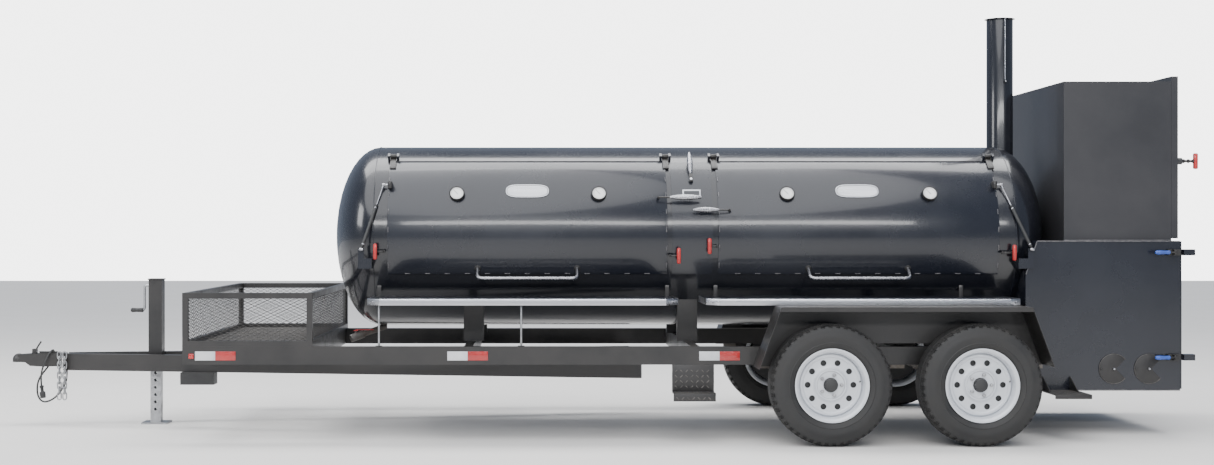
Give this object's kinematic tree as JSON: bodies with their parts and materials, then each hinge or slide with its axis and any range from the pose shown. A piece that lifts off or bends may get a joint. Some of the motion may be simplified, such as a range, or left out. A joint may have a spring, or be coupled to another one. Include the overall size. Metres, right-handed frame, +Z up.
{
  "type": "offset smoker",
  "caption": "Trailer-mounted reverse-flow offset smoker with lift-up tank doors, firebox, warming cabinet, stack, basket and tandem wheels.",
  "frame": {"origin": "middle of the overall box, on the ground under the wheels", "axes": "+X towards the firebox end, +Z up, doors on the -Y side"},
  "size_m": [7.172, 2.348, 2.5165],
  "materials": {
    "tank_paint": "satin blue-black high-heat paint",
    "frame_paint": "satin warm black paint",
    "basket_paint": "satin dark grey-brown paint",
    "stainless": "brushed stainless",
    "zinc": "bright zinc plate",
    "wheel_silver": "silver wheel paint",
    "tyre": "matt tread rubber",
    "cable_black": "black cable jacket",
    "grip_red": "red dipped grip",
    "grip_blue": "blue dipped grip",
    "lamp_red": "red lens and reflective tape",
    "raw_steel": "bare steel",
    "box_plastic": "black moulded case"
  },
  "bodies": {
    "trailer": {"main_frame": "frame_paint", "tongue_beams": "frame_paint", "coupler": "frame_paint", "safety_chains": "zinc", "light_cable": "cable_black", "cable_plug": "cable_black", "jack_post": "frame_paint", "breakaway_box": "box_plastic", "basket_frame": "basket_paint", "basket_mesh": "basket_paint", "steps": "frame_paint", "fenders": "frame_paint", "lamps": "lamp_red", "axles": "raw_steel", "leaf_springs": "raw_steel", "tank_shell": "tank_paint", "saddles": "frame_paint", "baffle_plate": "raw_steel", "racks": "raw_steel", "tank_fittings": "tank_paint", "shelves": "stainless", "drain_pipe": "raw_steel", "stack": "tank_paint", "firebox_shell": "tank_paint", "firebox_fittings": "frame_paint", "cabinet_shell": "tank_paint"},
    "door_left": {"door_left": "tank_paint", "door_left_fittings": "stainless"},
    "door_right": {"door_right": "tank_paint", "door_right_fittings": "stainless"},
    "strut_left_cylinder": {"strut_left_cylinder": "frame_paint"},
    "strut_left_rod": {"strut_left_rod": "zinc"},
    "strut_right_cylinder": {"strut_right_cylinder": "frame_paint"},
    "strut_right_rod": {"strut_right_rod": "zinc"},
    "latch_1": {"latch_1": "grip_red"},
    "latch_2": {"latch_2": "grip_red"},
    "latch_3": {"latch_3": "grip_red"},
    "latch_4": {"latch_4": "grip_red"},
    "coupler_latch": {"coupler_latch": "frame_paint"},
    "jack_leg": {"jack_leg": "zinc"},
    "jack_crank": {"jack_crank": "frame_paint"},
    "wheel_fn": {"tyre_fn": "tyre", "rim_fn": "wheel_silver"},
    "wheel_rn": {"tyre_rn": "tyre", "rim_rn": "wheel_silver"},
    "wheel_ff": {"tyre_ff": "tyre", "rim_ff": "wheel_silver"},
    "wheel_rf": {"tyre_rf": "tyre", "rim_rf": "wheel_silver"},
    "damper_lever": {"damper_lever": "stainless"},
    "drain_lever": {"drain_lever": "grip_red"},
    "stack_lid": {"stack_lid": "tank_paint"},
    "lid_rod": {"lid_rod": "stainless"},
    "firebox_door": {"firebox_door": "tank_paint"},
    "toggle_lower": {"toggle_lower": "grip_blue"},
    "toggle_upper": {"toggle_upper": "grip_blue"},
    "air_damper_1": {"air_damper_1": "tank_paint"},
    "air_damper_2": {"air_damper_2": "tank_paint"},
    "cabinet_door": {"cabinet_door": "tank_paint"},
    "cabinet_latch": {"cabinet_latch": "grip_red"}
  },
  "joints": [
    {"name": "door_left_lift", "type": "hinge", "parent": "trailer", "child": "door_left", "pos_m": [-0.379, -0.31317, 1.64824], "axis": [-1, 0, 0], "range_deg": [0, 65]},
    {"name": "door_right_lift", "type": "hinge", "parent": "trailer", "child": "door_right", "pos_m": [1.5765, -0.31317, 1.64824], "axis": [-1, 0, 0], "range_deg": [0, 65]},
    {"name": "strut_left_swing", "type": "hinge", "parent": "trailer", "child": "strut_left_cylinder", "pos_m": [-1.351, -0.624, 1.088], "axis": [0.8784, -0.4655, -0.1079], "range_deg": [0, 13.94]},
    {"name": "strut_left_extend", "type": "slide", "parent": "strut_left_cylinder", "child": "strut_left_rod", "axis": [0.2816, 0.3218, 0.904], "range_m": [0, 0.2365]},
    {"name": "strut_right_swing", "type": "hinge", "parent": "trailer", "child": "strut_right_cylinder", "pos_m": [2.576, -0.624, 1.088], "axis": [0.8353, 0.5356, 0.1242], "range_deg": [0, 14.3]},
    {"name": "strut_right_extend", "type": "slide", "parent": "strut_right_cylinder", "child": "strut_right_rod", "axis": [-0.3347, 0.3161, 0.8878], "range_m": [0, 0.2338]},
    {"name": "latch_1_turn", "type": "hinge", "parent": "trailer", "child": "latch_1", "pos_m": [-1.273, -0.57, 1.075], "axis": [0, -1, 0], "range_deg": [0, 90]},
    {"name": "latch_2_turn", "type": "hinge", "parent": "trailer", "child": "latch_2", "pos_m": [0.511, -0.57, 1.05], "axis": [0, 1, 0], "range_deg": [0, 90]},
    {"name": "latch_3_turn", "type": "hinge", "parent": "trailer", "child": "latch_3", "pos_m": [0.692, -0.57, 1.106], "axis": [0, -1, 0], "range_deg": [0, 90]},
    {"name": "latch_4_turn", "type": "hinge", "parent": "trailer", "child": "latch_4", "pos_m": [2.482, -0.57, 1.068], "axis": [0, 1, 0], "range_deg": [0, 90]},
    {"name": "coupler_latch_lift", "type": "hinge", "parent": "trailer", "child": "coupler_latch", "pos_m": [-3.449, 0, 0.448], "axis": [0, -1, 0], "range_deg": [0, 60]},
    {"name": "jack_raise", "type": "slide", "parent": "trailer", "child": "jack_leg", "axis": [0, 0, 1], "range_m": [0, 0.2]},
    {"name": "jack_crank_turn", "type": "hinge", "parent": "trailer", "child": "jack_crank", "pos_m": [-2.7, 0, 0.858], "axis": [1, 0, 0], "range_deg": [0, 1801]},
    {"name": "wheel_fn_roll", "type": "hinge", "parent": "trailer", "child": "wheel_fn", "pos_m": [1.307, -1.0715, 0.34], "axis": [0, 1, 0], "continuous": true},
    {"name": "wheel_rn_roll", "type": "hinge", "parent": "trailer", "child": "wheel_rn", "pos_m": [2.138, -1.0715, 0.34], "axis": [0, 1, 0], "continuous": true},
    {"name": "wheel_ff_roll", "type": "hinge", "parent": "trailer", "child": "wheel_ff", "pos_m": [1.307, 1.0715, 0.34], "axis": [0, 1, 0], "continuous": true},
    {"name": "wheel_rf_roll", "type": "hinge", "parent": "trailer", "child": "wheel_rf", "pos_m": [2.138, 1.0715, 0.34], "axis": [0, 1, 0], "continuous": true},
    {"name": "damper_lever_swing", "type": "hinge", "parent": "trailer", "child": "damper_lever", "pos_m": [0.595, -0.46154, 1.50133], "axis": [0, -0.809, 0.5878], "range_deg": [-25, 25]},
    {"name": "drain_lever_turn", "type": "hinge", "parent": "trailer", "child": "drain_lever", "pos_m": [-1.44, -0.078, 0.58], "axis": [0, 0, -1], "range_deg": [0, 90]},
    {"name": "stack_lid_lift", "type": "hinge", "parent": "trailer", "child": "stack_lid", "pos_m": [2.564, 0.091, 2.512], "axis": [-1, 0, 0], "range_deg": [0, 60]},
    {"name": "lid_rod_push", "type": "slide", "parent": "trailer", "child": "lid_rod", "axis": [0, 0, 1], "range_m": [0, 0.157]},
    {"name": "firebox_door_swing", "type": "hinge", "parent": "trailer", "child": "firebox_door", "pos_m": [3.462, 0.612, 0.7], "axis": [0, 0, 1], "range_deg": [0, 110]},
    {"name": "toggle_lower_pull", "type": "hinge", "parent": "trailer", "child": "toggle_lower", "pos_m": [3.41, -0.634, 0.457], "axis": [0, 0, 1], "range_deg": [0, 90]},
    {"name": "toggle_upper_pull", "type": "hinge", "parent": "trailer", "child": "toggle_upper", "pos_m": [3.41, -0.634, 1.071], "axis": [0, 0, 1], "range_deg": [0, 90]},
    {"name": "air_damper_1_turn", "type": "hinge", "parent": "trailer", "child": "air_damper_1", "pos_m": [3.06, -0.603, 0.388], "axis": [0, -1, 0], "range_deg": [0, 90]},
    {"name": "air_damper_2_turn", "type": "hinge", "parent": "trailer", "child": "air_damper_2", "pos_m": [3.267, -0.603, 0.388], "axis": [0, -1, 0], "range_deg": [0, 90]},
    {"name": "cabinet_door_swing", "type": "hinge", "parent": "trailer", "child": "cabinet_door", "pos_m": [3.438, 0.56, 1.6], "axis": [0, 0, 1], "range_deg": [0, 110]},
    {"name": "cabinet_latch_turn", "type": "hinge", "parent": "cabinet_door", "child": "cabinet_latch", "pos_m": [3.5, -0.52, 1.609], "axis": [1, 0, 0], "range_deg": [0, 90]}
  ],
  "couplings": [
    {"joint": "strut_left_swing", "follows": "door_left_lift", "ratio": 0.21369},
    {"joint": "strut_left_extend", "follows": "door_left_lift", "m_per_rad": 0.20804},
    {"joint": "strut_right_swing", "follows": "door_right_lift", "ratio": 0.21917},
    {"joint": "strut_right_extend", "follows": "door_right_lift", "m_per_rad": 0.20563},
    {"joint": "jack_crank_turn", "follows": "jack_raise", "rad_per_m": 157.08},
    {"joint": "lid_rod_push", "follows": "stack_lid_lift", "m_per_rad": 0.149}
  ]
}
